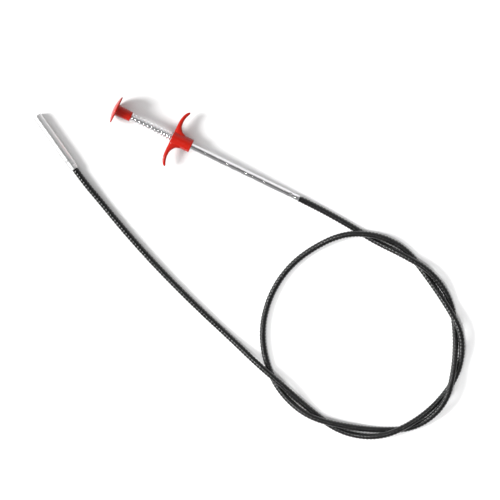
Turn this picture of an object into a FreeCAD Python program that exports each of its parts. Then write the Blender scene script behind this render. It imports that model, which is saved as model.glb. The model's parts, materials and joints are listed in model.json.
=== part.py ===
import FreeCAD, Part
import math
import os

# Claw pick-up drain auger, in millimetres. A thumb button on a plunger rod, a finger grip on a chromed
# tube, a long flexible sheath that lies in a loop on the floor, and a steel tip that hides four claws.
# +X runs along the handle from the button to the end of its tube, +Z is up and the floor is z = 0.
# Stations along the handle are measured from the grip's front face, which is the side of the sheath.

# Thumb button
BUTTON_RADIUS = 13.5
BUTTON_APEX = -82.7
BUTTON_UNDERSIDE = -78.9
BUTTON_RIM = 1.6
BUTTON_BORE_END = -76.0
COLLAR_ROOT_RADIUS = 5.6
COLLAR_END_RADIUS = 4.7
COLLAR_END = -64.0

# Plunger rod, and the sleeve that clamps the pull wire in its inner end
ROD_RADIUS = 2.5
ROD_BORE = 1.6
ROD_END = 20.0
CLAMP_RADIUS = 1.55
CLAMP_BORE = 1.0
CLAMP_LENGTH = 9.0
CLAMP_HEAD_RADIUS = 2.3
CLAMP_HEAD = 1.0

# Return spring
SPRING_RADIUS = 4.2
SPRING_WIRE = 1.1
SPRING_COILS = 11
SPRING_END_GAP = 0.2

# Finger grip
HUB_LENGTH = 20.6
HUB_RADIUS = 6.5
HUB_ROUND = 0.8
WING_TIP = (-14.9, 28.2)
WING_ROOT_HEIGHT = 8.0
WING_TIP_HEIGHT = 4.4
WING_ROUND = 0.9

# Handle tube
TUBE_RADIUS = 3.25
TUBE_WALL = 0.5
TUBE_END = 115.4
CRIMP_STATIONS = (106.0, 110.6)
CRIMP_WIDTH = 3.4
CRIMP_DEPTH = 0.25

# Sheath, from the outside in: plastic cover, coiled steel body, pull wire
COVER_RADIUS = 3.0
COVER_BORE = 2.65
COIL_RADIUS = 2.45
COIL_BORE = 1.5
WIRE_RADIUS = 0.9
COIL_IN_HANDLE = 10.0
COIL_PAST_COVER = 5.0
WIRE_START = 10.0
ARC_SHARE = 0.45

# Tip ferrule, measured along itself from its cable end
TIP_LENGTH = 63.0
TIP_RADIUS = 4.6
TIP_BORE = 4.0
NECK_RADIUS = 4.3
NECK_BORE = 3.1
NECK_LENGTH = 9.0
NECK_ROUND = 0.5
NECK_TAPER = 2.0
MOUTH_CHAMFER = 0.3
SHOULDER_BORE = 2.6
SHOULDER_LENGTH = 5.0

# Claw carrier and its claws
TRAVEL = 28.0
CARRIER_RADIUS = 3.2
CARRIER_REAR_GAP = 0.4
CARRIER_FRONT_GAP = 0.6
CARRIER_BORE = 1.1
CARRIER_BORE_DEPTH = 16.6
WIRE_IN_CARRIER = 15.6
CLAW_COUNT = 4
CLAW_WIRE_RADIUS = 0.5
CLAW_OFFSET = 0.9
CLAW_STRAIGHT = 15.0
CLAW_BOW_RADIUS = 35.7
CLAW_BOW_END = 25.0
HOOK_RADIUS = 1.0
HOOK_TURN_DEG = 120.0

# How the handle lies: on the button's rim, with the tube's end lifted a little by the sheath
TUBE_END_HEIGHT = 4.2
RIM_STATION = BUTTON_UNDERSIDE - BUTTON_RIM / 2

# The sheath's route over the floor. It runs on from the tube, makes a loop and a half whose two passes
# wind round each other, and ends in the tip. LOW is on the floor and TOP is over the other pass.
LOW = 3.05
TOP = 9.5
TIP_HEIGHT = 4.65
ROUTE = [
    (116.5, 0.0, 3.35),
    (138.0, -1.0, LOW),
    (160.0, -2.5, LOW),
    # first pass round the loop
    (182.0, -5.0, LOW),
    (211.5, -5.0, TOP),
    (243.5, -7.5, TOP),
    (273.0, -24.0, LOW),
    (291.5, -52.0, LOW),
    (304.0, -82.0, TOP),
    (311.5, -116.5, TOP),
    (296.5, -149.5, LOW),
    (264.5, -167.0, LOW),
    (232.0, -178.0, TOP),
    (196.5, -185.0, TOP),
    (162.0, -175.0, LOW),
    # the side where the loop is single
    (136.5, -153.5, LOW),
    (120.0, -126.5, LOW),
    (114.0, -96.5, LOW),
    (117.0, -67.0, LOW),
    (129.0, -39.5, LOW),
    (151.5, -11.0, TOP),
    # second pass
    (182.0, 2.0, TOP),
    (212.5, 1.5, LOW),
    (241.0, -13.0, LOW),
    (269.0, -29.0, TOP),
    (297.0, -48.5, TOP),
    (310.0, -81.0, LOW),
    (305.5, -115.0, LOW),
    (291.5, -145.5, TOP),
    (268.0, -173.5, TOP),
    (233.0, -185.0, LOW),
    (197.5, -178.5, LOW),
    (164.0, -168.5, TOP),
    # away to the tip
    (133.0, -160.5, TOP),
    (99.0, -149.5, LOW),
    (61.0, -138.0, LOW),
    (24.0, -125.5, LOW),
    (-12.0, -112.0, LOW),
    (-45.0, -98.0, LOW),
    (-73.0, -85.0, LOW),
    (-94.0, -75.8, TIP_HEIGHT),
    (-115.2, -64.2, TIP_HEIGHT),
]

X_AXIS = FreeCAD.Vector(1, 0, 0)
Y_AXIS = FreeCAD.Vector(0, 1, 0)
Z_AXIS = FreeCAD.Vector(0, 0, 1)
ORIGIN = FreeCAD.Vector(0, 0, 0)

# The handle's tilt, from the button's radius and the height of the tube's end
rim_to_end = TUBE_END - RIM_STATION
tilt = math.atan2(BUTTON_RADIUS, rim_to_end) - math.asin(TUBE_END_HEIGHT / math.hypot(rim_to_end, BUTTON_RADIUS))
# The handle's two ends stand equally far from x = 0
grip_x = -((BUTTON_APEX + TUBE_END) * math.cos(tilt) + TUBE_RADIUS * math.sin(tilt)) / 2
grip_face = FreeCAD.Vector(grip_x, 0, TUBE_END_HEIGHT + TUBE_END * math.sin(tilt))


def on_handle(shape):
    """Moves a piece that was made along the X axis, by stations, to its place on the handle."""
    shape.rotate(ORIGIN, Y_AXIS, math.degrees(tilt))
    shape.translate(grip_face)
    return shape


def handle_point(station):
    """The point of the handle's axis at a station."""
    return grip_face + FreeCAD.Vector(math.cos(tilt), 0, -math.sin(tilt)) * station


def turned(profile):
    """Turns a closed outline of (station, radius) points about the X axis. An outline entry of two points is an
    arc from the point before, through the first, to the second."""
    edges = []
    here = FreeCAD.Vector(profile[0][0], 0, profile[0][1])
    first = here
    for entry in profile[1:]:
        if isinstance(entry[0], tuple):
            through = FreeCAD.Vector(entry[0][0], 0, entry[0][1])
            there = FreeCAD.Vector(entry[1][0], 0, entry[1][1])
            edges.append(Part.Arc(here, through, there).toShape())
        else:
            there = FreeCAD.Vector(entry[0], 0, entry[1])
            edges.append(Part.LineSegment(here, there).toShape())
        here = there
    edges.append(Part.LineSegment(here, first).toShape())
    return Part.Face(Part.Wire(edges)).revolve(ORIGIN, X_AXIS, 360)


def ring(start, end, outer, inner):
    """A plain sleeve along X."""
    return turned([(start, inner), (start, outer), (end, outer), (end, inner)])


def thumb_button():
    """A domed disc with a rounded rim, on a tapered collar that is bored for the rod."""
    rim_front = BUTTON_UNDERSIDE - BUTTON_RIM
    rim_inner = BUTTON_RADIUS - BUTTON_RIM / 2
    dome_mid = (rim_front + (BUTTON_APEX - rim_front) * 0.76, rim_inner * 0.5)
    shape = turned([
        (BUTTON_APEX, 0),
        (dome_mid, (rim_front, rim_inner)),
        ((RIM_STATION, BUTTON_RADIUS), (BUTTON_UNDERSIDE, rim_inner)),
        (BUTTON_UNDERSIDE, COLLAR_ROOT_RADIUS + 1.2),
        ((BUTTON_UNDERSIDE + 0.35, COLLAR_ROOT_RADIUS + 0.35), (BUTTON_UNDERSIDE + 1.2, COLLAR_ROOT_RADIUS)),
        (COLLAR_END, COLLAR_END_RADIUS),
        (COLLAR_END, ROD_RADIUS),
        (BUTTON_BORE_END, ROD_RADIUS),
        (BUTTON_BORE_END, 0),
    ])
    return on_handle(shape)


def plunger_rod():
    return on_handle(ring(BUTTON_BORE_END, ROD_END, ROD_RADIUS, ROD_BORE))


def wire_clamp():
    """A sleeve inside the rod's inner end, with a thin head against the rod."""
    start = ROD_END - CLAMP_LENGTH
    shape = turned([
        (start, CLAMP_BORE),
        (start, CLAMP_RADIUS),
        (ROD_END, CLAMP_RADIUS),
        (ROD_END, CLAMP_HEAD_RADIUS),
        (ROD_END + CLAMP_HEAD, CLAMP_HEAD_RADIUS),
        (ROD_END + CLAMP_HEAD, CLAMP_BORE),
    ])
    return on_handle(shape)


def return_spring():
    """A coiled wire between the collar and the grip."""
    start = COLLAR_END + SPRING_WIRE / 2 + SPRING_END_GAP
    end = -HUB_LENGTH - SPRING_WIRE / 2 - SPRING_END_GAP
    helix = Part.makeHelix((end - start) / SPRING_COILS, end - start, SPRING_RADIUS)
    section = Part.Circle(FreeCAD.Vector(SPRING_RADIUS, 0, 0), Y_AXIS, SPRING_WIRE / 2).toShape()
    shape = Part.Wire(helix.Edges).makePipeShell([Part.Wire([section])], True, True)
    shape.rotate(ORIGIN, Y_AXIS, 90)
    shape.translate(X_AXIS * start)
    return on_handle(shape)


def wing(side):
    """One horn-shaped wing, in the XY plane. side is 1 or -1."""
    outer_points = [(-HUB_LENGTH, 3.6), (-HUB_LENGTH, 14.5), (-20.1, 19.8), (-18.4, 24.4), WING_TIP]
    inner_points = [WING_TIP, (-15.7, 23.6), (-16.8, 18.8), (-16.2, 13.4), (-13.4, 9.0), (-8.2, 6.1)]
    outer = Part.BSplineCurve()
    outer.interpolate([FreeCAD.Vector(x, side * y, 0) for x, y in outer_points[1:]])
    inner = Part.BSplineCurve()
    inner.interpolate([FreeCAD.Vector(x, side * y, 0) for x, y in inner_points])
    corners = [FreeCAD.Vector(x, side * y, 0) for x, y in (inner_points[-1], (-8.2, 3.6), *outer_points[:2])]
    edges = [outer.toShape(), inner.toShape()]
    edges += [Part.LineSegment(a, b).toShape() for a, b in zip(corners, corners[1:])]
    face = Part.Face(Part.Wire(Part.__sortEdges__(edges)))
    face.translate(Z_AXIS * -WING_ROOT_HEIGHT)
    slab = face.extrude(Z_AXIS * 2 * WING_ROOT_HEIGHT)
    root = WING_ROOT_HEIGHT / 2
    tip = WING_TIP_HEIGHT / 2
    reach = WING_TIP[1] + 1
    section = [(0, -root), (reach, -tip), (reach, tip), (0, root), (0, -root)]
    taper = Part.Face(Part.makePolygon([FreeCAD.Vector(-HUB_LENGTH - 2, side * y, z) for y, z in section]))
    return slab.common(taper.extrude(X_AXIS * (HUB_LENGTH + 4)))


def finger_grip():
    """The hub with a wing on each side, bored for the handle tube."""
    hub = Part.makeCylinder(HUB_RADIUS, HUB_LENGTH, X_AXIS * -HUB_LENGTH, X_AXIS)
    shape = hub.fuse([wing(1), wing(-1)]).removeSplitter()
    shape = shape.cut(Part.makeCylinder(TUBE_RADIUS, HUB_LENGTH, X_AXIS * -HUB_LENGTH, X_AXIS))
    return on_handle(shape)


def handle_tube():
    """A straight tube that is rolled down in two narrow rings onto the sheath's steel body."""
    rings = []
    for station in CRIMP_STATIONS:
        rings.append((station, 0))
        rings.append((station + CRIMP_WIDTH * 0.3, CRIMP_DEPTH))
        rings.append((station + CRIMP_WIDTH * 0.7, CRIMP_DEPTH))
        rings.append((station + CRIMP_WIDTH, 0))
    bore = TUBE_RADIUS - TUBE_WALL
    outside = [(station, TUBE_RADIUS - depth) for station, depth in rings]
    inside = [(station, bore - depth) for station, depth in reversed(rings)]
    ends = [(-HUB_LENGTH, TUBE_RADIUS)], [(TUBE_END, TUBE_RADIUS), (TUBE_END, bore)]
    return on_handle(turned([(-HUB_LENGTH, bore)] + ends[0] + outside + ends[1] + inside))


def route_wire(points, report=False):
    """Straight runs joined by tangent arcs, each as large as its two runs allow."""
    runs = [(b - a).Length for a, b in zip(points, points[1:])]
    edges = []
    radii = []
    here = points[0]
    for before, after, a, b, c in zip(runs, runs[1:], points, points[1:], points[2:]):
        inward = (a - b).normalize()
        outward = (c - b).normalize()
        reach = ARC_SHARE * min(before, after)
        half_turn = (math.pi - inward.getAngle(outward)) / 2
        radius = reach / math.tan(half_turn)
        middle = b + (inward + outward).normalize() * (math.hypot(reach, radius) - radius)
        start = b + inward * reach
        end = b + outward * reach
        edges.append(Part.LineSegment(here, start).toShape())
        edges.append(Part.Arc(start, middle, end).toShape())
        radii.append(radius)
        here = end
    edges.append(Part.LineSegment(here, points[-1]).toShape())
    wire = Part.Wire(edges)
    if report:
        print("sheath's arc radii:", " ".join(f"{r:.0f}" for r in radii))
        print(f"sheath's length {wire.Length:.1f}, tightest radius {min(radii):.1f}")
    return wire


def tube_along(wire, outer, inner=None):
    """A round tube, or a round bar where there is no bore, along a wire."""
    start = wire.Edges[0].valueAt(wire.Edges[0].FirstParameter)
    direction = wire.Edges[0].tangentAt(wire.Edges[0].FirstParameter)
    section = Part.Face(Part.Wire([Part.Circle(start, direction, outer).toShape()]))
    if inner:
        section = section.cut(Part.Face(Part.Wire([Part.Circle(start, direction, inner).toShape()])))
    shape = wire.makePipe(section.Faces[0])
    print(f"tube: volume {shape.Volume:.0f}, section times length {section.Area * wire.Length:.0f}")
    return shape


route = [FreeCAD.Vector(*point) for point in ROUTE]
tip_direction = (route[-1] - route[-2]).normalize()
tip_start = route[-1] - tip_direction * NECK_LENGTH
tip_angle = math.degrees(math.atan2(tip_direction.y, tip_direction.x))
shoulder_end = NECK_LENGTH + SHOULDER_LENGTH
carrier_rear = shoulder_end + CARRIER_REAR_GAP
hinge_station = TIP_LENGTH - TRAVEL
carrier_front = hinge_station - CARRIER_FRONT_GAP


def on_tip(shape):
    """Moves a piece that was made along the X axis, from the ferrule's cable end, to its place in the tip."""
    shape.rotate(ORIGIN, Z_AXIS, tip_angle)
    shape.translate(tip_start)
    return shape


def tip_point(station):
    """The point of the ferrule's axis at a station."""
    return tip_start + tip_direction * station


def sheath_cover():
    return tube_along(route_wire([handle_point(TUBE_END)] + route, report=True), COVER_RADIUS, COVER_BORE)


def sheath_coil():
    """The steel body under the cover, which runs on into the handle tube and the ferrule."""
    ends = handle_point(TUBE_END - COIL_IN_HANDLE), tip_point(NECK_LENGTH + COIL_PAST_COVER)
    return tube_along(route_wire([ends[0]] + route[:-1] + [ends[1]]), COIL_RADIUS, COIL_BORE)


def pull_wire():
    ends = handle_point(WIRE_START), tip_point(carrier_rear + WIRE_IN_CARRIER)
    return tube_along(route_wire([ends[0]] + route[:-1] + [ends[1]]), WIRE_RADIUS)


def tip_ferrule():
    """A steel sleeve, open at its mouth, with a neck rolled onto the sheath."""
    shape = turned([
        (0, NECK_BORE),
        (0, NECK_RADIUS - NECK_ROUND),
        ((NECK_ROUND * 0.3, NECK_RADIUS - NECK_ROUND * 0.3), (NECK_ROUND, NECK_RADIUS)),
        (NECK_LENGTH, NECK_RADIUS),
        (NECK_LENGTH + NECK_TAPER, TIP_RADIUS),
        (TIP_LENGTH - MOUTH_CHAMFER, TIP_RADIUS),
        (TIP_LENGTH, TIP_RADIUS - MOUTH_CHAMFER),
        (TIP_LENGTH, TIP_BORE),
        (shoulder_end, TIP_BORE),
        (shoulder_end, SHOULDER_BORE),
        (NECK_LENGTH, SHOULDER_BORE),
        (NECK_LENGTH, NECK_BORE),
    ])
    return on_tip(shape)


def claw_carrier():
    """The crimped sleeve that joins the pull wire to the claws."""
    shape = turned([
        (carrier_rear, CARRIER_BORE),
        (carrier_rear, CARRIER_RADIUS - 0.5),
        (carrier_rear + 0.8, CARRIER_RADIUS),
        (carrier_front - 0.8, CARRIER_RADIUS),
        (carrier_front, CARRIER_RADIUS - 0.5),
        (carrier_front, 0),
        (carrier_rear + CARRIER_BORE_DEPTH, 0),
        (carrier_rear + CARRIER_BORE_DEPTH, CARRIER_BORE),
    ])
    return on_tip(shape)


def claw(turn):
    """A springy wire with a round root, a straight leg, an outward bow and a hook that turns in. turn is its
    place round the ferrule's axis, in degrees."""
    bow = math.asin((CLAW_BOW_END - CLAW_STRAIGHT) / CLAW_BOW_RADIUS)
    bow_centre = (CLAW_STRAIGHT, CLAW_OFFSET + CLAW_BOW_RADIUS)
    root = FreeCAD.Vector(0, 0, CLAW_OFFSET)
    leg_end = FreeCAD.Vector(CLAW_STRAIGHT, 0, CLAW_OFFSET)

    def bow_point(angle):
        x = bow_centre[0] + CLAW_BOW_RADIUS * math.sin(angle)
        return FreeCAD.Vector(x, 0, bow_centre[1] - CLAW_BOW_RADIUS * math.cos(angle))

    bow_end = bow_point(bow)
    hook_centre = bow_end + FreeCAD.Vector(math.sin(bow), 0, -math.cos(bow)) * HOOK_RADIUS

    def hook_point(turned_deg):
        angle = math.pi / 2 + bow - math.radians(turned_deg)
        return hook_centre + FreeCAD.Vector(math.cos(angle), 0, math.sin(angle)) * HOOK_RADIUS

    hook_end = hook_point(HOOK_TURN_DEG)
    path = Part.Wire([
        Part.LineSegment(root, leg_end).toShape(),
        Part.Arc(leg_end, bow_point(bow / 2), bow_end).toShape(),
        Part.Arc(bow_end, hook_point(HOOK_TURN_DEG / 2), hook_end).toShape(),
    ])
    section = Part.Wire([Part.Circle(root, X_AXIS, CLAW_WIRE_RADIUS).toShape()])
    wire = path.makePipe(Part.Face(section))
    shape = wire.fuse([Part.makeSphere(CLAW_WIRE_RADIUS, point) for point in (root, hook_end)])
    shape.translate(X_AXIS * hinge_station)
    shape.rotate(ORIGIN, X_AXIS, turn)
    return on_tip(shape)


pieces = {
    "thumb_button": thumb_button(),
    "plunger_rod": plunger_rod(),
    "wire_clamp": wire_clamp(),
    "return_spring": return_spring(),
    "finger_grip": finger_grip(),
    "handle_tube": handle_tube(),
    "sheath_cover": sheath_cover(),
    "sheath_coil": sheath_coil(),
    "pull_wire": pull_wire(),
    "tip_ferrule": tip_ferrule(),
    "claw_carrier": claw_carrier(),
}
for number in range(CLAW_COUNT):
    pieces[f"claw_{number + 1}"] = claw(45 + number * 360 / CLAW_COUNT)

os.makedirs("parts", exist_ok=True)
for name, shape in pieces.items():
    shape.exportStep(f"parts/{name}.step")
    print(f"{name}: valid {shape.isValid()}, solids {len(shape.Solids)}, volume {shape.Volume:.1f}")

print(f"tilt {math.degrees(tilt):.3f} degrees, grip face {grip_face}, tube's end {handle_point(TUBE_END)}")
print(f"tip's cable end {tip_start}, its direction {tip_direction}, claws hinge at {tip_point(hinge_station)}")
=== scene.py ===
import json
import math

import bmesh
import bpy
import numpy as np
from mathutils import Matrix, Vector


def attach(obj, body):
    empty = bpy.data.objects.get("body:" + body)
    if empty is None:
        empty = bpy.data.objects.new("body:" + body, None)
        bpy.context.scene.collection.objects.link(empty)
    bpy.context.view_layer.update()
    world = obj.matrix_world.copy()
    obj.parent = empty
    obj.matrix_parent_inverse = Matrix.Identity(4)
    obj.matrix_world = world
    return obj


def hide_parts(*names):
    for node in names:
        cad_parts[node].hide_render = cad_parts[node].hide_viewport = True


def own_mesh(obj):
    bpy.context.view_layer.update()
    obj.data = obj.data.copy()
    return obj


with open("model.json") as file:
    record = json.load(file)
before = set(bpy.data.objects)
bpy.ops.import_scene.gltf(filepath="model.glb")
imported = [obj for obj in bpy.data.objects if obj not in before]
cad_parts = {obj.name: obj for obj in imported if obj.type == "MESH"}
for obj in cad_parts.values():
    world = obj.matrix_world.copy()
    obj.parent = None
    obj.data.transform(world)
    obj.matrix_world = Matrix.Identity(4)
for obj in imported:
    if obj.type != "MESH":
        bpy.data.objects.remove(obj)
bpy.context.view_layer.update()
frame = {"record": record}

# The looks of a claw pick-up drain auger. Pieces on the handle and in the tip are made in millimetres, each
# in its group's own frame with X along the group's axis, and stations are the places along that axis. Handle
# stations start at the grip's front face, and tip stations at the ferrule's cable end.
MM = 0.001

# Camera and lamps, in metres, degrees and watts. Directions in the view are counted from its right,
# anticlockwise
VIEW_CENTRE = (0.07775, -0.06488, 0.0045)
VIEW_WIDTH = 0.480
VIEW_TURN_DEG = 25.9
LENS_MM = 250.0
SENSOR_MM = 36.0
KEY_FROM_DEG = 182.0
KEY_ELEVATION_DEG = 34.0
KEY_ANGLE_DEG = 21.0
KEY_STRENGTH = 4.5
LOOP_LIGHT_AT = (0.232, -0.115)
LOOP_LIGHT_FROM_DEG = 215.0
LOOP_LIGHT_ELEVATION_DEG = 76.0
LOOP_LIGHT_DISTANCE = 1.4
LOOP_LIGHT_POWER = 140.0
LOOP_LIGHT_RADIUS = 0.2
LOOP_LIGHT_CONE_DEG = 11.5
FLOOR_HALF = 4.0

# The studio round the object. Edges are how far a direction faces the named way, where 1 is straight at it
FILL_STRENGTH = 1.0
FILL_FROM_HORIZON = 0.3
FILL_FALL_DEG = 30.0
FILL_FALL = 0.6
ROOM_AROUND = 0.38
ROOM_OVERHEAD = 0.14
ROOM_OVERHEAD_EDGE = 0.75
WALL_STRENGTH = 0.65
WALL_EDGE = 0.40
WALL_FULL = 0.70
WALL_END_EDGE = 0.15
WALL_END = 0.40
GLOW_STRENGTH = 0.5
GLOW_EDGE = 0.8

# Places of the mounts that carry the two groups' frames
CLIP_STATION = 52.0
TIP_MOUNT_STATION = 37.5

# Thumb button and plunger
BUTTON_RADIUS = 13.5
BUTTON_APEX = -82.7
BUTTON_UNDERSIDE = -78.9
BUTTON_RIM = 1.6
DOME_STEPS = 24
RIM_STEP_DEG = 15
BUTTON_BORE_END = -76.0
COLLAR_ROOT_RADIUS = 5.6
COLLAR_END_RADIUS = 4.7
COLLAR_END = -64.0
ROD_RADIUS = 2.5
ROD_BORE = 1.6
ROD_END = 20.0
CLAMP_RADIUS = 1.55
CLAMP_BORE = 1.0
CLAMP_LENGTH = 9.0
CLAMP_HEAD_RADIUS = 2.3
CLAMP_HEAD_LENGTH = 1.0

# Return spring: its coils stand closer together near the grip, and a closed coil rises by about one wire
SPRING_RADIUS = 4.2
SPRING_WIRE = 1.1
SPRING_GAP = 0.2
SPRING_COILS = 12
SPRING_PITCH_CHANGE = 0.3
SPRING_CLOSED_TURNS = 1.0
SPRING_CLOSED_RISE = 0.28
SPRING_STEPS = 36
SPRING_SIDES = 14

# Finger grip. Each rung joins the wing's outer and inner edge: outer x and y, inner x and y, half height
HUB_LENGTH = 20.6
HUB_RADIUS = 6.5
HUB_ROUND = 0.7
WING_RUNGS = (
    (-20.7, 2.0, -6.0, 2.0, 4.1),
    (-20.7, 6.0, -8.4, 6.2, 4.1),
    (-20.7, 10.2, -13.1, 8.5, 3.8),
    (-20.7, 14.1, -15.9, 12.5, 3.4),
    (-20.3, 19.2, -16.7, 17.5, 2.9),
    (-19.0, 24.0, -16.0, 22.4, 2.5),
    (-17.0, 27.2, -14.8, 25.7, 2.0),
    (-15.7, 28.3, -14.2, 27.1, 1.4),
    (-15.0, 28.7, -14.4, 28.2, 0.6),
)
WING_STEPS = 8
WING_SIDES = 40
WING_SQUARENESS = 2.8
GRIP_VOXEL = 0.3
GRIP_SMOOTHINGS = 4
GRIP_CUT_PAST = 2.0

# Handle tube
TUBE_RADIUS = 3.25
TUBE_WALL = 0.5
TUBE_END = 115.4
WAIST_START = 104.4
WAIST_END = 110.9
WAIST_SLOPE = 1.8
WAIST_RADIUS = 2.9
BEAD_END = 113.6
TUBE_MOUTH_RADIUS = 2.85

# Rings of dents: station, turn of the first in degrees, depth, half length, half width, number round the ring
TUBE_PINCHES = (
    (106.9, 75, 0.5, 0.8, 1.0, 4),
    (109.0, 30, 0.4, 0.7, 0.9, 4),
    (112.0, 80, 0.25, 0.7, 0.8, 4),
)
TIP_PUNCHES = (
    (4.6, 118, 0.5, 0.8, 0.8, 2),
    (1.2, 0, 0.55, 1.6, 2.6, 2),
)
CARRIER_SQUEEZES = (
    (20.0, 0, 0.35, 1.2, 1.4, 4),
    (30.0, 0, 0.35, 1.2, 1.4, 4),
)

# Sheath, in millimetres across, and its route in metres
COVER_CREST = 3.0
COVER_VALLEY = 2.55
COVER_BORE = 2.47
RIDGE_PITCH = 3.36
RINGS_PER_RIDGE = 8
COVER_SIDES = 24
COIL_RADIUS = 2.45
COIL_SIDES = 20
WIRE_RADIUS = 0.9
WIRE_SIDES = 12
COIL_IN_HANDLE = 10.0
COIL_PAST_COVER = 5.0
WIRE_START = 10.0
ROUTE_RESOLUTION = 200
ROUTE = [
    (0.1165, 0.0, 0.00335),
    (0.138, -0.001, 0.00305),
    (0.160, -0.0025, 0.00305),
    # first pass round the loop
    (0.182, -0.005, 0.00305),
    (0.2115, -0.005, 0.0095),
    (0.2435, -0.0075, 0.0095),
    (0.273, -0.024, 0.00305),
    (0.2915, -0.052, 0.00305),
    (0.304, -0.082, 0.0095),
    (0.3115, -0.1165, 0.0095),
    (0.2965, -0.1495, 0.00305),
    (0.2645, -0.167, 0.00305),
    (0.232, -0.178, 0.0095),
    (0.1965, -0.185, 0.0095),
    (0.162, -0.175, 0.00305),
    # the side where the loop is single
    (0.1365, -0.1535, 0.00305),
    (0.120, -0.1265, 0.00305),
    (0.114, -0.0965, 0.00305),
    (0.117, -0.067, 0.00305),
    (0.129, -0.0395, 0.00305),
    (0.1515, -0.011, 0.0095),
    # second pass
    (0.182, 0.002, 0.0095),
    (0.2125, 0.0015, 0.00305),
    (0.241, -0.013, 0.00305),
    (0.269, -0.029, 0.0095),
    (0.297, -0.0485, 0.0095),
    (0.310, -0.081, 0.00305),
    (0.3055, -0.115, 0.00305),
    (0.2915, -0.1455, 0.0095),
    (0.268, -0.1735, 0.0095),
    (0.233, -0.185, 0.00305),
    (0.1975, -0.1785, 0.00305),
    (0.164, -0.1685, 0.0095),
    # away to the tip
    (0.133, -0.1605, 0.0095),
    (0.099, -0.1495, 0.00305),
    (0.061, -0.138, 0.00305),
    (0.024, -0.1255, 0.00305),
    (-0.012, -0.112, 0.00305),
    (-0.045, -0.098, 0.00305),
    (-0.073, -0.085, 0.00305),
    (-0.094, -0.0758, 0.00465),
    (-0.1152, -0.0642, 0.00465),
]

# Tip ferrule, claw carrier and claws
TIP_LENGTH = 63.0
TIP_RADIUS = 4.6
TIP_BORE = 4.0
NECK_RADIUS = 4.3
NECK_BORE = 3.1
NECK_LENGTH = 9.0
NECK_TAPER = 2.0
SHOULDER_BORE = 2.6
SHOULDER_END = 14.0
CARRIER_RADIUS = 3.2
CARRIER_REAR = 14.4
CARRIER_FRONT = 34.4
CARRIER_BORE = 1.1
CARRIER_BORE_DEPTH = 16.6
WIRE_IN_CARRIER = 15.6
CLAW_COUNT = 4
CLAW_FIRST_DEG = 45.0
CLAW_HINGE = 35.0
CLAW_WIRE_RADIUS = 0.5
CLAW_WIRE_SIDES = 16
CLAW_OFFSET = 0.9
CLAW_STRAIGHT = 15.0
CLAW_BOW_RADIUS = 35.7
CLAW_BOW_END = 25.0
HOOK_RADIUS = 1.0
HOOK_TURN_DEG = 120.0

# Fineness of the meshes: points round a turned piece, and the longest step along a dented one
SEGMENTS = 96
CLAMP_SEGMENTS = 48
CARRIER_SEGMENTS = 64
TUBE_STEP = 0.4
TIP_STEP = 0.6
CARRIER_STEP = 0.8
SHARP_DEG = 38.0


# The row frame, and the frames of the two groups

def group_frame(mount_name, mount_station):
    """A group's place: X along the mount's axis, Z as near to up as it can be, origin at station 0."""
    mount = next(m for m in frame["record"]["mounts"] if m["name"] == mount_name)
    along = Vector(mount["axis"]).normalized()
    across = Vector((0, 0, 1)).cross(along).normalized()
    place = Matrix((along, across, along.cross(across))).transposed().to_4x4()
    place.translation = Vector(mount["pos_m"]) - along * mount_station * MM
    return place


row_frame = Matrix()
handle = group_frame("handle_tube_clip", CLIP_STATION)
tip = group_frame("tip_outside", TIP_MOUNT_STATION)


def station_point(group, station):
    """The point on a group's axis at a station, in metres in the row frame."""
    return group @ Vector((station * MM, 0, 0))


# Camera, light and floor

def add_camera():
    """Looks straight down, turned so that the handle slants across the view."""
    data = bpy.data.cameras.new("camera")
    data.lens = LENS_MM
    data.sensor_width = SENSOR_MM
    camera = bpy.data.objects.new("camera", data)
    distance = VIEW_WIDTH * LENS_MM / SENSOR_MM
    camera.location = Vector(VIEW_CENTRE) + Vector((0, 0, distance))
    camera.rotation_euler = (0, 0, math.radians(VIEW_TURN_DEG))
    bpy.context.scene.collection.objects.link(camera)
    bpy.context.scene.camera = camera


def view_direction(around_deg, elevation_deg):
    """A direction that lies this far round in the view and this far above the floor."""
    around = math.radians(VIEW_TURN_DEG + around_deg)
    elevation = math.radians(elevation_deg)
    return Vector((math.cos(around) * math.cos(elevation), math.sin(around) * math.cos(elevation),
                   math.sin(elevation)))


def add_lamp(name, kind, towards_lamp, energy):
    """A lamp that shines from this direction."""
    data = bpy.data.lights.new(name, kind)
    data.energy = energy
    lamp = bpy.data.objects.new(name, data)
    lamp.rotation_euler = towards_lamp.to_track_quat("Z", "Y").to_euler()
    bpy.context.scene.collection.objects.link(lamp)
    return lamp


def add_lights():
    """A soft key lamp low on the view's left, and a soft pool of light over the sheath's loop."""
    key = add_lamp("key", "SUN", view_direction(KEY_FROM_DEG, KEY_ELEVATION_DEG), KEY_STRENGTH)
    key.data.angle = math.radians(KEY_ANGLE_DEG)
    towards_pool = view_direction(LOOP_LIGHT_FROM_DEG, LOOP_LIGHT_ELEVATION_DEG)
    pool = add_lamp("loop_light", "SPOT", towards_pool, LOOP_LIGHT_POWER)
    pool.location = Vector((*LOOP_LIGHT_AT, 0)) + towards_pool * LOOP_LIGHT_DISTANCE
    pool.data.shadow_soft_size = LOOP_LIGHT_RADIUS
    pool.data.spot_size = math.radians(LOOP_LIGHT_CONE_DEG)
    pool.data.spot_blend = 1.0


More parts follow.
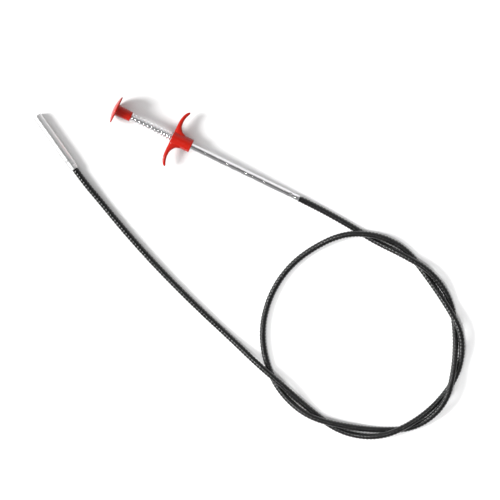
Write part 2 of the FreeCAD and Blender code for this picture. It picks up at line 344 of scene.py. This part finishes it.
def add_world():
    """Matt surfaces get soft white light from above, less of it from the view's right. Reflections show a
    grey room, darker overhead, with a glow round the key lamp and a pale wall towards +Y, short of +X."""
    world = bpy.data.worlds.new("studio")
    bpy.context.scene.world = world
    world.use_nodes = True
    tree = world.node_tree
    background = tree.nodes["Background"]
    rays = tree.nodes.new("ShaderNodeLightPath")
    from_above = map_range(tree, facing(tree, (0, 0, 1)), 0, 1, FILL_FROM_HORIZON, 1.0)
    from_side = map_range(tree, facing(tree, view_direction(FILL_FALL_DEG, 0)), -1, 1,
                          1 + FILL_FALL, 1 - FILL_FALL)
    matt = math_node(tree, "MULTIPLY", math_node(tree, "MULTIPLY", from_above, from_side), FILL_STRENGTH)
    grey = map_range(tree, facing(tree, (0, 0, 1)), ROOM_OVERHEAD_EDGE, 1.0, ROOM_AROUND, ROOM_OVERHEAD)
    wall_breadth = map_range(tree, facing(tree, (0, 1, 0)), WALL_EDGE, WALL_FULL, 0, WALL_STRENGTH)
    wall_end = map_range(tree, facing(tree, (1, 0, 0)), WALL_END_EDGE, WALL_END, 1, 0)
    wall = math_node(tree, "MULTIPLY", wall_breadth, wall_end)
    glow = map_range(tree, facing(tree, view_direction(KEY_FROM_DEG, KEY_ELEVATION_DEG)), GLOW_EDGE, 1.0,
                     0, GLOW_STRENGTH)
    room = math_node(tree, "ADD", math_node(tree, "MAXIMUM", glow, wall), grey)
    seen = mixed(tree, rays.outputs["Is Glossy Ray"], matt, room)
    tree.links.new(mixed(tree, rays.outputs["Is Camera Ray"], seen, 1.0), background.inputs["Strength"])
    background.inputs["Color"].default_value = (1, 1, 1, 1)


def facing(tree, direction):
    """How far the world's direction points along this one, from -1 to 1."""
    coordinates = tree.nodes.new("ShaderNodeTexCoord")
    dot = tree.nodes.new("ShaderNodeVectorMath")
    dot.operation = "DOT_PRODUCT"
    tree.links.new(coordinates.outputs["Generated"], dot.inputs[0])
    dot.inputs[1].default_value = direction
    return dot.outputs["Value"]


def mixed(tree, factor, a, b):
    """a where the factor is 0, b where it is 1."""
    node = tree.nodes.new("ShaderNodeMix")
    tree.links.new(factor, node.inputs[0])
    # Of a Mix node's inputs, the two numbers come after its two factors
    feed(tree, node.inputs[2:4], (a, b))
    return node.outputs[0]


def add_floor():
    """A plain pale sheet, far wider than the view."""
    mesh = bpy.data.meshes.new("floor")
    corners = [(-FLOOR_HALF, -FLOOR_HALF, 0), (FLOOR_HALF, -FLOOR_HALF, 0), (FLOOR_HALF, FLOOR_HALF, 0),
               (-FLOOR_HALF, FLOOR_HALF, 0)]
    mesh.from_pydata(corners, [], [(0, 1, 2, 3)])
    floor = bpy.data.objects.new("floor", mesh)
    bpy.context.scene.collection.objects.link(floor)
    mesh.materials.append(floor_paper())


# Shader helpers

def new_material(name, constants):
    """A Principled material with these values set on the shader's own sockets."""
    material = bpy.data.materials.new(name)
    material.use_nodes = True
    shader = material.node_tree.nodes["Principled BSDF"]
    for socket, value in constants.items():
        shader.inputs[socket].default_value = value
    return material, material.node_tree, shader


def feed(tree, sockets, values):
    """Sets each input socket to a number, or links another node's output to it."""
    for socket, value in zip(sockets, values):
        if isinstance(value, (int, float)):
            socket.default_value = value
        else:
            tree.links.new(value, socket)


def math_node(tree, operation, a, b):
    """A Math node's result. a and b are sockets or numbers."""
    node = tree.nodes.new("ShaderNodeMath")
    node.operation = operation
    feed(tree, node.inputs, (a, b))
    return node.outputs[0]


def map_range(tree, source, from_low, from_high, to_low, to_high):
    """source, from one range to another, held at both ends."""
    node = tree.nodes.new("ShaderNodeMapRange")
    tree.links.new(source, node.inputs["Value"])
    limits = {"From Min": from_low, "From Max": from_high, "To Min": to_low, "To Max": to_high}
    for socket, value in limits.items():
        node.inputs[socket].default_value = value
    return node.outputs[0]


def noise(tree, size, stretch=(1, 1, 1), detail=3.0):
    """Noise with features of about size, in millimetres, drawn out along an axis where stretch is large."""
    coordinates = tree.nodes.new("ShaderNodeTexCoord")
    mapping = tree.nodes.new("ShaderNodeMapping")
    mapping.inputs["Scale"].default_value = [1 / (size * MM * s) for s in stretch]
    texture = tree.nodes.new("ShaderNodeTexNoise")
    texture.inputs["Scale"].default_value = 1.0
    texture.inputs["Detail"].default_value = detail
    tree.links.new(coordinates.outputs["Object"], mapping.inputs["Vector"])
    tree.links.new(mapping.outputs["Vector"], texture.inputs["Vector"])
    return texture.outputs[0]


def tint(tree, shader, factor, low, high):
    """The base colour varies between two colours."""
    node = tree.nodes.new("ShaderNodeMix")
    node.data_type = "RGBA"
    tree.links.new(factor, node.inputs["Factor"])
    # A colour Mix node has its colour sockets after those of its other types
    colour_a, colour_b = [s for s in node.inputs if s.type == "RGBA"]
    colour_a.default_value = (*low, 1)
    colour_b.default_value = (*high, 1)
    result = next(s for s in node.outputs if s.type == "RGBA")
    tree.links.new(result, shader.inputs["Base Color"])


def bump(tree, shader, height, depth_mm):
    """Small relief, as deep as this where height goes from 0 to 1."""
    node = tree.nodes.new("ShaderNodeBump")
    node.inputs["Strength"].default_value = 1.0
    node.inputs["Distance"].default_value = depth_mm * MM
    tree.links.new(height, node.inputs["Height"])
    tree.links.new(node.outputs["Normal"], shader.inputs["Normal"])


# Materials

def floor_paper():
    material, tree, shader = new_material("floor_paper", {"Roughness": 0.9, "Specular IOR Level": 0.1})
    tint(tree, shader, noise(tree, 90), (0.795, 0.795, 0.797), (0.805, 0.805, 0.805))
    return material


def red_plastic():
    """Glossy moulded red, with faint clouding and a fine moulded skin."""
    material, tree, shader = new_material("red_plastic", {"Specular IOR Level": 0.3})
    tint(tree, shader, noise(tree, 5), (0.36, 0.0068, 0.0018), (0.415, 0.0092, 0.0026))
    tree.links.new(map_range(tree, noise(tree, 1.6), 0.3, 0.7, 0.14, 0.24), shader.inputs["Roughness"])
    relief = math_node(tree, "ADD", noise(tree, 0.5), math_node(tree, "MULTIPLY", noise(tree, 4.0), 2.0))
    bump(tree, shader, relief, 0.012)
    return material


def chrome():
    """Bright plate, slightly wavy, with fine lengthwise marks."""
    material, tree, shader = new_material("chrome", {"Metallic": 1.0, "Specular Tint": (0.6, 0.6, 0.6, 1)})
    tint(tree, shader, noise(tree, 3, (4, 1, 1)), (0.78, 0.78, 0.79), (0.86, 0.86, 0.87))
    marks = noise(tree, 0.25, (30, 1, 1))
    tree.links.new(map_range(tree, marks, 0.35, 0.75, 0.04, 0.16), shader.inputs["Roughness"])
    waves = math_node(tree, "MULTIPLY", noise(tree, 1.6, (3, 1, 1), 1.0), 6.0)
    bump(tree, shader, math_node(tree, "ADD", marks, waves), 0.03)
    return material


def satin_nickel():
    """Plated steel with a soft lengthwise brushing and small handling marks."""
    constants = {"Metallic": 1.0, "Specular Tint": (0.4, 0.4, 0.4, 1)}
    material, tree, shader = new_material("satin_nickel", constants)
    tint(tree, shader, noise(tree, 2.5, (5, 1, 1)), (0.76, 0.76, 0.76), (0.86, 0.86, 0.86))
    brushing = noise(tree, 0.18, (50, 1, 1))
    marks = map_range(tree, noise(tree, 2.0), 0.35, 0.7, 0.34, 0.46)
    lines = map_range(tree, brushing, 0.3, 0.7, -0.04, 0.04)
    tree.links.new(math_node(tree, "ADD", marks, lines), shader.inputs["Roughness"])
    bump(tree, shader, brushing, 0.02)
    return material


def drawn_steel():
    """Plain drawn bar: fine lengthwise lines and a little oil."""
    material, tree, shader = new_material("drawn_steel", {"Metallic": 1.0})
    tint(tree, shader, noise(tree, 3, (3, 1, 1)), (0.58, 0.58, 0.59), (0.70, 0.70, 0.71))
    lines = noise(tree, 0.15, (60, 1, 1))
    tree.links.new(map_range(tree, lines, 0.3, 0.7, 0.3, 0.42), shader.inputs["Roughness"])
    bump(tree, shader, lines, 0.02)
    return material


def spring_wire():
    """Bright plated wire with a little bloom."""
    material, tree, shader = new_material("spring_wire", {"Metallic": 1.0})
    tint(tree, shader, noise(tree, 2), (0.90, 0.90, 0.91), (0.97, 0.97, 0.98))
    tree.links.new(map_range(tree, noise(tree, 0.6), 0.3, 0.7, 0.05, 0.12), shader.inputs["Roughness"])
    bump(tree, shader, noise(tree, 0.3), 0.01)
    return material


def black_plastic():
    """Satin black skin with a fine grain, a little dust and rubbed patches."""
    material, tree, shader = new_material("black_plastic", {"Specular IOR Level": 0.4})
    tint(tree, shader, noise(tree, 9, detail=6.0), (0.001, 0.001, 0.001), (0.0025, 0.0025, 0.0025))
    tree.links.new(map_range(tree, noise(tree, 6.0), 0.3, 0.7, 0.2, 0.26), shader.inputs["Roughness"])
    bump(tree, shader, noise(tree, 0.35), 0.002)
    return material


# Mesh helpers, in millimetres in a group's own frame

def rounded(corners, steps=6):
    """An outline from corners of (x, radius, rounding). A corner with a rounding becomes a short curve."""
    outline = []
    for number, (x, radius, rounding) in enumerate(corners):
        here = np.array((x, radius))
        if rounding == 0:
            outline.append(here)
            continue
        before = np.array(corners[number - 1][:2]) - here
        after = np.array(corners[(number + 1) % len(corners)][:2]) - here
        start = here + before / np.linalg.norm(before) * rounding
        end = here + after / np.linalg.norm(after) * rounding
        for t in np.linspace(0, 1, steps):
            outline.append(start * (1 - t) ** 2 + here * 2 * t * (1 - t) + end * t ** 2)
    return np.array(outline)


def refined(outline, step, closed=True):
    """An outline with points added, so that no side is longer than step."""
    ends = np.roll(outline, -1, axis=0) if closed else outline[1:]
    points = []
    for a, b in zip(outline, ends):
        count = max(1, math.ceil(np.linalg.norm(b - a) / step))
        points += [a + (b - a) * i / count for i in range(count)]
    return np.array(points if closed else points + [outline[-1]])


def turned(outline, dents=(), closed=True, segments=SEGMENTS):
    """Points and faces of an outline of (x, radius) turned about X. A point on the axis is one vertex. A dent
    of (station, angle in degrees, depth, half length, half width) presses both walls in."""
    angles = np.arange(segments) * 2 * math.pi / segments
    points, rings, faces = [], [], []
    for x, radius in outline:
        if radius < 1e-6:
            rings.append([len(points)])
            points.append((x, 0, 0))
            continue
        radii = np.full(segments, float(radius))
        for station, turn_deg, depth, half_length, half_width in dents:
            away = (angles - math.radians(turn_deg) + math.pi) % (2 * math.pi) - math.pi
            radii -= depth * np.exp(-((x - station) / half_length) ** 2 - (away * radius / half_width) ** 2)
        rings.append(list(range(len(points), len(points) + segments)))
        points += [(x, r * math.cos(a), r * math.sin(a)) for a, r in zip(angles, radii)]
    pairs = list(zip(rings, rings[1:] + rings[:1]))
    for a, b in pairs if closed else pairs[:-1]:
        for i in range(segments):
            j = (i + 1) % segments
            face = (a[i % len(a)], b[i % len(b)], b[j % len(b)], a[j % len(a)])
            faces.append(tuple(dict.fromkeys(face)))
    return points, [f for f in faces if len(f) > 2]


def dents_of(rings):
    """Each dent of these rings, as turned takes them."""
    dents = []
    for station, first_deg, depth, half_length, half_width, count in rings:
        for i in range(count):
            dents.append((station, first_deg + i * 360 / count, depth, half_length, half_width))
    return dents


def carried_frames(path):
    """The direction of a path at each point, and two directions across it that don't twist."""
    path = np.asarray(path, float)
    along = np.gradient(path, axis=0)
    along /= np.linalg.norm(along, axis=1)[:, None]
    first = np.array((0.0, 0.0, 1.0)) if abs(along[0][2]) < 0.9 else np.array((0.0, 1.0, 0.0))
    side = []
    for direction in along:
        first = first - direction * (first @ direction)
        first /= np.linalg.norm(first)
        side.append(first)
    side = np.array(side)
    return along, side, np.cross(along, side)


def unit_rings(path, sides):
    """The path's direction at each point, and a ring of directions square to it there."""
    along, across, up = carried_frames(path)
    angles = np.arange(sides) * 2 * math.pi / sides
    cosines = np.cos(angles)[None, :, None]
    sines = np.sin(angles)[None, :, None]
    return along, cosines * across[:, None] + sines * up[:, None]


def swept(path, radius, sides, round_ends=False):
    """Points and faces of a solid round bar along a path, with flat or half round ends."""
    path = np.asarray(path, float)
    along, ring_shape = unit_rings(path, sides)
    rings = list(path[:, None] + ring_shape * radius)
    poles = [path[0], path[-1]]
    if round_ends:
        for turn in np.radians((30, 60)):
            rings.insert(0, path[0] + (ring_shape[0] * math.cos(turn) - along[0] * math.sin(turn)) * radius)
            rings.append(path[-1] + (ring_shape[-1] * math.cos(turn) + along[-1] * math.sin(turn)) * radius)
        poles = [path[0] - along[0] * radius, path[-1] + along[-1] * radius]
    points = np.concatenate([np.array(rings).reshape(-1, 3), poles])
    faces = []
    for row in range(len(rings) - 1):
        faces += ring_faces(row * sides, (row + 1) * sides, sides)
    first_pole, last_pole = len(points) - 2, len(points) - 1
    last_row = (len(rings) - 1) * sides
    for i in range(sides):
        j = (i + 1) % sides
        faces.append((first_pole, j, i))
        faces.append((last_pole, last_row + i, last_row + j))
    return points, faces


def ring_faces(a, b, sides):
    """The quads between two rings that start at vertices a and b."""
    return [(a + i, a + (i + 1) % sides, b + (i + 1) % sides, b + i) for i in range(sides)]


def through(points, per_span):
    """A smooth line through points, by Catmull-Rom spans."""
    points = np.asarray(points, float)
    padded = np.concatenate([[2 * points[0] - points[1]], points, [2 * points[-1] - points[-2]]])
    line = []
    for a, b, c, d in zip(padded, padded[1:], padded[2:], padded[3:]):
        for t in np.arange(per_span) / per_span:
            line.append(0.5 * (2 * b + (c - a) * t + (2 * a - 5 * b + 4 * c - d) * t ** 2
                               + (3 * b - a - 3 * c + d) * t ** 3))
    return np.array(line + [points[-1]])


def joined(*shells):
    """Several shells as one list of points and one of faces."""
    points, faces = [], []
    for shell_points, shell_faces in shells:
        start = len(points)
        points += [tuple(p) for p in shell_points]
        faces += [tuple(start + i for i in f) for f in shell_faces]
    return points, faces


def mesh_object(name, shell):
    """An object with a mesh of these points and faces, whose faces look outwards."""
    mesh = bpy.data.meshes.new(name)
    mesh.from_pydata([tuple(p) for p in shell[0]], [], shell[1])
    work = bmesh.new()
    work.from_mesh(mesh)
    bmesh.ops.recalc_face_normals(work, faces=work.faces)
    work.to_mesh(mesh)
    work.free()
    made = bpy.data.objects.new(name, mesh)
    bpy.context.scene.collection.objects.link(made)
    return made


def place_piece(piece, group, body, material, nodes):
    """Brings a piece from millimetres to metres and to its place, gives it its material and body, and hides
    the CAD nodes it stands for.
    """
    piece.data.transform(Matrix.Scale(MM, 4))
    piece.matrix_world = group
    piece.data.shade_smooth()
    piece.data.set_sharp_from_angle(angle=math.radians(SHARP_DEG))
    piece.data.materials.clear()
    piece.data.materials.append(material)
    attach(piece, body)
    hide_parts(*nodes)
    return piece


# The sheath and what runs inside it

def nurbs_line(points):
    """A dense line read from the NURBS spline that has these control points, in metres."""
    curve = bpy.data.curves.new("route", "CURVE")
    curve.dimensions = "3D"
    curve.resolution_u = ROUTE_RESOLUTION
    spline = curve.splines.new("NURBS")
    spline.points.add(len(points) - 1)
    for control, place in zip(spline.points, points):
        control.co = (*place, 1.0)
    spline.order_u = 3
    spline.use_endpoint_u = True
    carrier = bpy.data.objects.new("route", curve)
    bpy.context.scene.collection.objects.link(carrier)
    bpy.context.view_layer.update()
    line_mesh = bpy.data.meshes.new_from_object(carrier)
    line = np.array([v.co for v in line_mesh.vertices], float)
    bpy.data.objects.remove(carrier)
    bpy.data.meshes.remove(line_mesh)
    return line


def evenly(line, step):
    """A line with its points evenly spaced, about step apart."""
    lengths = np.concatenate([[0], np.cumsum(np.linalg.norm(np.diff(line, axis=0), axis=1))])
    count = round(lengths[-1] / step) + 1
    places = np.linspace(0, lengths[-1], count)
    return np.column_stack([np.interp(places, lengths, line[:, i]) for i in range(3)]), places


def sheath_cover(route_line):
    """A plastic skin that the coiled body under it has drawn into a screw of low ridges, with an open bore.
    Also gives the skin's path, in metres."""
    step = RIDGE_PITCH / RINGS_PER_RIDGE
    path, places = evenly(route_line / MM, step)
    _, ring_shape = unit_rings(path, COVER_SIDES)
    phase = places[:, None] / RIDGE_PITCH - np.arange(COVER_SIDES)[None] / COVER_SIDES
    ridge = np.abs(np.cos(math.pi * phase))
    outer = path[:, None] + ring_shape * (COVER_VALLEY + (COVER_CREST - COVER_VALLEY) * ridge)[:, :, None]
    inner_rows = sorted(set(range(0, len(path), RINGS_PER_RIDGE)) | {len(path) - 1})
    inner = (path[:, None] + ring_shape * COVER_BORE)[inner_rows]
    points = np.concatenate([outer.reshape(-1, 3), inner.reshape(-1, 3)])
    sides = COVER_SIDES
    faces = []
    for row in range(len(outer) - 1):
        faces += ring_faces(row * sides, (row + 1) * sides, sides)
    bore = len(outer) * sides
    for row in range(len(inner) - 1):
        faces += ring_faces(bore + (row + 1) * sides, bore + row * sides, sides)
    faces += ring_faces(bore, 0, sides)
    faces += ring_faces((len(outer) - 1) * sides, bore + (len(inner) - 1) * sides, sides)
    return mesh_object("sheath_cover_ridged", (points, faces)), path * MM


# Pieces on the plunger

def thumb_button():
    """A shallow dome with a rounded rim, on a tapered collar that is bored for the rod."""
    rim_front = BUTTON_UNDERSIDE - BUTTON_RIM
    rim_inner = BUTTON_RADIUS - BUTTON_RIM / 2
    rise = rim_front - BUTTON_APEX
    dome = [(BUTTON_APEX + rise * t ** 2, rim_inner * t) for t in np.linspace(0, 1, DOME_STEPS)]
    rim = []
    for turn in np.radians(np.arange(RIM_STEP_DEG, 180, RIM_STEP_DEG)):
        rim.append((BUTTON_UNDERSIDE - BUTTON_RIM / 2 * (1 + math.cos(turn)),
                    rim_inner + BUTTON_RIM / 2 * math.sin(turn)))
    back = rounded([
        (BUTTON_UNDERSIDE, rim_inner, 0),
        (BUTTON_UNDERSIDE, COLLAR_ROOT_RADIUS, 1.3),
        (COLLAR_END, COLLAR_END_RADIUS, 0.35),
        (COLLAR_END, ROD_RADIUS, 0.12),
        (BUTTON_BORE_END, ROD_RADIUS, 0),
        (BUTTON_BORE_END, 0, 0),
    ])
    return mesh_object("thumb_button_moulded", turned(np.concatenate([dome, rim, back]), closed=False))


def plunger_rod():
    shell = turned(rounded([
        (BUTTON_BORE_END, ROD_BORE, 0),
        (BUTTON_BORE_END, ROD_RADIUS, 0.2),
        (ROD_END, ROD_RADIUS, 0.3),
        (ROD_END, ROD_BORE, 0.15),
    ]))
    return mesh_object("plunger_rod_drawn", shell)


def wire_clamp():
    start = ROD_END - CLAMP_LENGTH
    shell = turned(rounded([
        (start, CLAMP_BORE, 0),
        (start, CLAMP_RADIUS, 0.15),
        (ROD_END, CLAMP_RADIUS, 0),
        (ROD_END, CLAMP_HEAD_RADIUS, 0.15),
        (ROD_END + CLAMP_HEAD_LENGTH, CLAMP_HEAD_RADIUS, 0.3),
        (ROD_END + CLAMP_HEAD_LENGTH, CLAMP_BORE, 0.15),
    ]), segments=CLAMP_SEGMENTS)
    return mesh_object("wire_clamp_sleeve", shell)


# Pieces on the handle

def return_spring():
    """A wire helix with closed end coils, and coils that stand closer together near the grip."""
    start = COLLAR_END + SPRING_WIRE / 2 + SPRING_GAP
    end = -HUB_LENGTH - SPRING_WIRE / 2 - SPRING_GAP
    turns = np.linspace(0, SPRING_COILS, SPRING_COILS * SPRING_STEPS + 1)
    share = turns / SPRING_COILS
    # Between the closed coils at its ends, the rise per turn falls towards the grip
    pitch = 1 - SPRING_PITCH_CHANGE * (2 * share - 1)
    closing = np.minimum(1, np.minimum(turns, SPRING_COILS - turns) / SPRING_CLOSED_TURNS)
    opening = closing ** 2 * (3 - 2 * closing)
    rise = pitch * (SPRING_CLOSED_RISE + (1 - SPRING_CLOSED_RISE) * opening)
    travelled = np.concatenate([[0], np.cumsum((rise[1:] + rise[:-1]) / 2)])
    x = start + (end - start) * travelled / travelled[-1]
    angle = turns * 2 * math.pi
    path = np.column_stack([x, SPRING_RADIUS * np.cos(angle), SPRING_RADIUS * np.sin(angle)])
    return mesh_object("return_spring_wound", swept(path, SPRING_WIRE / 2, SPRING_SIDES))


def wing(side):
    """A horn-shaped wing with a full, rounded section, closed at its root and its tip. side is 1 or -1."""
    rungs = through(WING_RUNGS, WING_STEPS)
    angles = np.arange(WING_SIDES) * 2 * math.pi / WING_SIDES
    power = 2 / WING_SQUARENESS
    broad = np.sign(np.cos(angles)) * np.abs(np.cos(angles)) ** power
    high = np.sign(np.sin(angles)) * np.abs(np.sin(angles)) ** power
    points = []
    for outer_x, outer_y, inner_x, inner_y, half_height in rungs:
        middle = np.array((outer_x + inner_x, outer_y + inner_y)) / 2
        reach = np.array((outer_x - inner_x, outer_y - inner_y)) / 2
        for b, h in zip(broad, high):
            x, y = middle + reach * b
            points.append((x, side * y, half_height * h))
    faces = []
    for row in range(len(rungs) - 1):
        faces += ring_faces(row * WING_SIDES, (row + 1) * WING_SIDES, WING_SIDES)
    faces.append(tuple(range(WING_SIDES)))
    faces.append(tuple(range(len(points) - WING_SIDES, len(points))))
    return points, faces


def finger_grip():
    """A round hub with two wings, blended into one moulding and bored for the tube."""
    hub = turned(rounded([
        (-HUB_LENGTH, 0, 0),
        (-HUB_LENGTH, HUB_RADIUS, HUB_ROUND),
        (0, HUB_RADIUS, HUB_ROUND),
        (0, 0, 0),
    ]), closed=False)
    blank = mesh_object("grip_blank", joined(hub, wing(1), wing(-1)))
    remesh = blank.modifiers.new("skin", "REMESH")
    remesh.mode = "VOXEL"
    remesh.voxel_size = GRIP_VOXEL
    smooth = blank.modifiers.new("fillets", "SMOOTH")
    smooth.factor = 0.5
    smooth.iterations = GRIP_SMOOTHINGS
    cutter = mesh_object("grip_cutter", turned([
        (-HUB_LENGTH - GRIP_CUT_PAST, 0),
        (-HUB_LENGTH - GRIP_CUT_PAST, TUBE_RADIUS),
        (GRIP_CUT_PAST, TUBE_RADIUS),
        (GRIP_CUT_PAST, 0),
    ], closed=False))
    bore = blank.modifiers.new("bore", "BOOLEAN")
    bore.operation = "DIFFERENCE"
    bore.object = cutter
    mesh = bpy.data.meshes.new_from_object(blank.evaluated_get(bpy.context.evaluated_depsgraph_get()))
    made = bpy.data.objects.new("finger_grip_moulded", mesh)
    bpy.context.scene.collection.objects.link(made)
    bpy.data.objects.remove(blank)
    bpy.data.objects.remove(cutter)
    return made


def handle_tube():
    """A plated tube whose end is rolled and pinched onto the sheath's steel body, with a waist and a bead."""
    outer = [
        (WAIST_START, TUBE_RADIUS),
        (WAIST_START + WAIST_SLOPE, WAIST_RADIUS),
        (WAIST_END - WAIST_SLOPE, WAIST_RADIUS),
        (WAIST_END, TUBE_RADIUS),
        (BEAD_END, TUBE_RADIUS),
        (TUBE_END, TUBE_MOUTH_RADIUS),
    ]
    outline = rounded([(-HUB_LENGTH, TUBE_RADIUS - TUBE_WALL, 0), (-HUB_LENGTH, TUBE_RADIUS, 0.1)]
                      + [(x, radius, 0.6) for x, radius in outer]
                      + [(x, max(radius - TUBE_WALL, COIL_RADIUS), 0.1) for x, radius in reversed(outer)])
    return mesh_object("handle_tube_plated", turned(refined(outline, TUBE_STEP), dents_of(TUBE_PINCHES)))


def tip_ferrule():
    """A steel sleeve with an open mouth, pinched and punched onto the sheath at its other end."""
    outline = rounded([
        (0, NECK_BORE, 0.15),
        (0, NECK_RADIUS, 0.5),
        (NECK_LENGTH, NECK_RADIUS, 1.0),
        (NECK_LENGTH + NECK_TAPER, TIP_RADIUS, 1.0),
        (TIP_LENGTH, TIP_RADIUS, 0.35),
        (TIP_LENGTH, TIP_BORE, 0.2),
        (SHOULDER_END, TIP_BORE, 0),
        (SHOULDER_END, SHOULDER_BORE, 0.2),
        (NECK_LENGTH, SHOULDER_BORE, 0),
        (NECK_LENGTH, NECK_BORE, 0),
    ])
    return mesh_object("tip_ferrule_crimped", turned(refined(outline, TIP_STEP), dents_of(TIP_PUNCHES)))


# Pieces in the tip

def claw_carrier():
    """The sleeve that holds the pull wire and the claws, squeezed in two places."""
    bore_end = CARRIER_REAR + CARRIER_BORE_DEPTH
    outline = rounded([
        (bore_end, 0, 0),
        (bore_end, CARRIER_BORE, 0),
        (CARRIER_REAR, CARRIER_BORE, 0.1),
        (CARRIER_REAR, CARRIER_RADIUS, 0.5),
        (CARRIER_FRONT, CARRIER_RADIUS, 0.5),
        (CARRIER_FRONT, 0, 0),
    ])
    outline = refined(outline, CARRIER_STEP, closed=False)
    shell = turned(outline, dents_of(CARRIER_SQUEEZES), closed=False, segments=CARRIER_SEGMENTS)
    return mesh_object("claw_carrier_crimped", shell)


def claw(number):
    """A spring wire with a straight leg, an outward bow and a hook that turns in."""
    bow = math.asin((CLAW_BOW_END - CLAW_STRAIGHT) / CLAW_BOW_RADIUS)
    legs = [(x, CLAW_OFFSET) for x in (0, CLAW_STRAIGHT / 2, CLAW_STRAIGHT)]
    bows = []
    for turn in np.linspace(0, bow, 10)[1:]:
        bows.append((CLAW_STRAIGHT + CLAW_BOW_RADIUS * math.sin(turn),
                     CLAW_OFFSET + CLAW_BOW_RADIUS * (1 - math.cos(turn))))
    centre = (bows[-1][0] + HOOK_RADIUS * math.sin(bow), bows[-1][1] - HOOK_RADIUS * math.cos(bow))
    hooks = []
    for turned_deg in np.linspace(0, HOOK_TURN_DEG, 9)[1:]:
        turn = math.pi / 2 + bow - math.radians(turned_deg)
        hooks.append((centre[0] + HOOK_RADIUS * math.cos(turn), centre[1] + HOOK_RADIUS * math.sin(turn)))
    spin = math.radians(CLAW_FIRST_DEG + number * 360 / CLAW_COUNT)
    path = [(CLAW_HINGE + x, -r * math.sin(spin), r * math.cos(spin)) for x, r in legs + bows + hooks]
    shell = swept(path, CLAW_WIRE_RADIUS, CLAW_WIRE_SIDES, round_ends=True)
    return mesh_object(f"claw_{number + 1}_wire", shell)


# The making, camera and sheath first

bpy.context.scene.view_settings.view_transform = "Standard"
add_camera()
add_lights()
add_world()
add_floor()

red = red_plastic()
steel = drawn_steel()
wire_finish = spring_wire()

tube_end = station_point(handle, TUBE_END)
cover, cover_path = sheath_cover(nurbs_line([tuple(tube_end)] + ROUTE))
place_piece(cover, row_frame, "handle", black_plastic(), ["sheath_cover"])

coil_start = station_point(handle, TUBE_END - COIL_IN_HANDLE)
coil_end = station_point(tip, NECK_LENGTH + COIL_PAST_COVER)
coil_line, _ = evenly(nurbs_line([tuple(coil_start)] + ROUTE[:-1] + [tuple(coil_end)]) / MM, RIDGE_PITCH)
coil = mesh_object("sheath_coil_body", swept(coil_line, COIL_RADIUS, COIL_SIDES))
place_piece(coil, row_frame, "handle", wire_finish, ["sheath_coil"])

wire_start = station_point(handle, WIRE_START)
wire_end = station_point(tip, CARRIER_REAR + WIRE_IN_CARRIER)
wire_line, _ = evenly(nurbs_line([tuple(wire_start), tuple(tube_end)] + ROUTE + [tuple(wire_end)]) / MM,
                      RIDGE_PITCH)
wire = mesh_object("pull_wire_bar", swept(wire_line, WIRE_RADIUS, WIRE_SIDES))
place_piece(wire, row_frame, "handle", steel, ["pull_wire"])

place_piece(thumb_button(), handle, "plunger", red, ["thumb_button"])
place_piece(plunger_rod(), handle, "plunger", steel, ["plunger_rod"])
place_piece(wire_clamp(), handle, "plunger", steel, ["wire_clamp"])
place_piece(finger_grip(), handle, "handle", red, ["finger_grip"])
place_piece(handle_tube(), handle, "handle", chrome(), ["handle_tube"])
spring = place_piece(return_spring(), handle, "handle", wire_finish, ["return_spring"])
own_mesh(spring)

ferrule = place_piece(tip_ferrule(), tip, "handle", satin_nickel(), ["tip_ferrule"])
carrier = place_piece(claw_carrier(), tip, "claw_carrier", steel, ["claw_carrier"])
for number in range(CLAW_COUNT):
    node = f"claw_{number + 1}"
    place_piece(claw(number), tip, node, wire_finish, [node])
